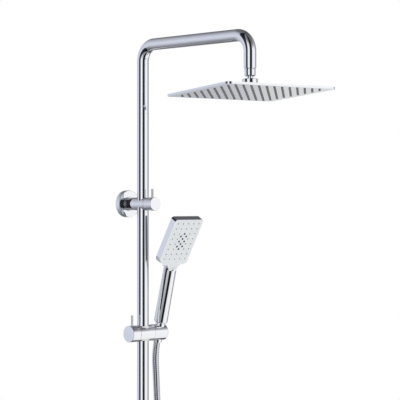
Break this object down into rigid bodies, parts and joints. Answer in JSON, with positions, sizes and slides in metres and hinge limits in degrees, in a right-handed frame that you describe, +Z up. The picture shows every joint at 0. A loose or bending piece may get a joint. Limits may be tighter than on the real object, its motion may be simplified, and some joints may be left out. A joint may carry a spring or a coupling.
{
  "type": "rainfall shower column",
  "caption": "Wall-mounted shower column: gooseneck riser, square rain head on a ball joint, diverter bracket, sliding tilting holder, hand shower and spiral hose.",
  "frame": {"origin": "mouth of the threaded wall inlet, on the axis of the upper bracket, in the wall plane", "axes": "+Y into the wall along the inlet, so the room is towards -Y; +Z up along the riser"},
  "size_m": [0.2979, 0.5337, 1.6793],
  "materials": {
    "polished_chrome": "mirror-polished chrome plate on brass",
    "polished_steel": "mirror-polished stainless steel",
    "satin_steel": "bright stainless steel",
    "brass": "turned brass",
    "plated_plastic": "chrome-plated ABS",
    "face_plastic": "pale glossy plated face",
    "grey_silicone": "dark grey silicone",
    "tan_silicone": "tan silicone",
    "navy_silicone": "dark navy silicone",
    "seal_rubber": "black rubber",
    "white_plastic": "white acetal",
    "hose_metal": "spiral-wound polished stainless steel"
  },
  "bodies": {
    "column": {"gooseneck_arm": "polished_chrome", "riser_spigot": "brass", "spigot_oring_lower": "seal_rubber", "spigot_oring_upper": "seal_rubber", "arm_set_screw": "satin_steel", "rail_tube": "polished_chrome", "arm_nipple": "polished_chrome", "nipple_washer": "seal_rubber", "upper_flange": "polished_chrome", "upper_base_ring": "polished_chrome", "inlet_union": "brass", "inlet_oring": "seal_rubber", "diverter_body": "polished_chrome", "hose": "hose_metal", "hose_nut": "polished_chrome", "hose_washer": "seal_rubber", "outlet_nipple": "polished_chrome", "check_valve": "white_plastic", "lower_plate": "satin_steel", "lower_stud": "satin_steel", "lower_flange": "polished_chrome", "lower_base_ring": "polished_chrome", "lower_body": "polished_chrome", "lower_screw": "satin_steel", "lower_cap": "polished_chrome"},
    "head_swivel": {"swivel_nut": "polished_chrome"},
    "rain_head": {"ball_ring": "polished_chrome", "ball_seat": "white_plastic", "head_shell": "polished_steel", "head_plate": "polished_steel", "rain_nozzle_mat": "grey_silicone"},
    "diverter": {"diverter_cartridge": "white_plastic", "diverter_knob": "polished_chrome", "diverter_lever": "polished_chrome", "diverter_screw": "satin_steel"},
    "liner": {"rail_liner": "white_plastic"},
    "carriage": {"slider_body": "polished_chrome", "clamp_pad": "white_plastic", "tilt_ring": "seal_rubber"},
    "clamp_knob": {"clamp_screw": "brass", "slider_knob": "polished_chrome", "slider_lever": "polished_chrome"},
    "holder": {"cone_holder": "polished_chrome"},
    "hand_shower": {"handset_shell": "plated_plastic", "handset_face": "face_plastic", "handset_nozzle_mat": "tan_silicone", "handset_jets": "navy_silicone", "handset_inlet": "brass", "handset_washer": "seal_rubber", "cone_nut": "polished_chrome"}
  },
  "joints": [
    {"name": "head_swivel_turn", "type": "hinge", "parent": "column", "child": "head_swivel", "pos_m": [0, -0.384, 0.2415], "axis": [0, 0, 1], "range_deg": [-90, 90]},
    {"name": "head_tilt", "type": "hinge", "parent": "head_swivel", "child": "rain_head", "pos_m": [0, -0.384, 0.2415], "axis": [1, 0, 0], "range_deg": [-11, 13]},
    {"name": "diverter_turn", "type": "hinge", "parent": "column", "child": "diverter", "pos_m": [0, -0.085, 0], "axis": [0, 1, 0], "range_deg": [-90, 90]},
    {"name": "slider_slide", "type": "slide", "parent": "column", "child": "liner", "axis": [0, 0, 1], "range_m": [-0.45, 0.04], "deforming": ["hose"]},
    {"name": "slider_swivel", "type": "hinge", "parent": "liner", "child": "carriage", "pos_m": [0, -0.057, -0.278], "axis": [0, 0, 1], "range_deg": [-35, 35]},
    {"name": "clamp_turn", "type": "hinge", "parent": "carriage", "child": "clamp_knob", "pos_m": [0, -0.057, -0.278], "axis": [1, 0, 0], "range_deg": [-90, 0]},
    {"name": "holder_tilt", "type": "hinge", "parent": "carriage", "child": "holder", "pos_m": [0, -0.057, -0.278], "axis": [1, 0, 0], "range_deg": [-6, 30]},
    {"name": "hand_shower_lift", "type": "slide", "parent": "holder", "child": "hand_shower", "axis": [0, -0.2554, 0.9668], "range_m": [0, 0.09]}
  ]
}
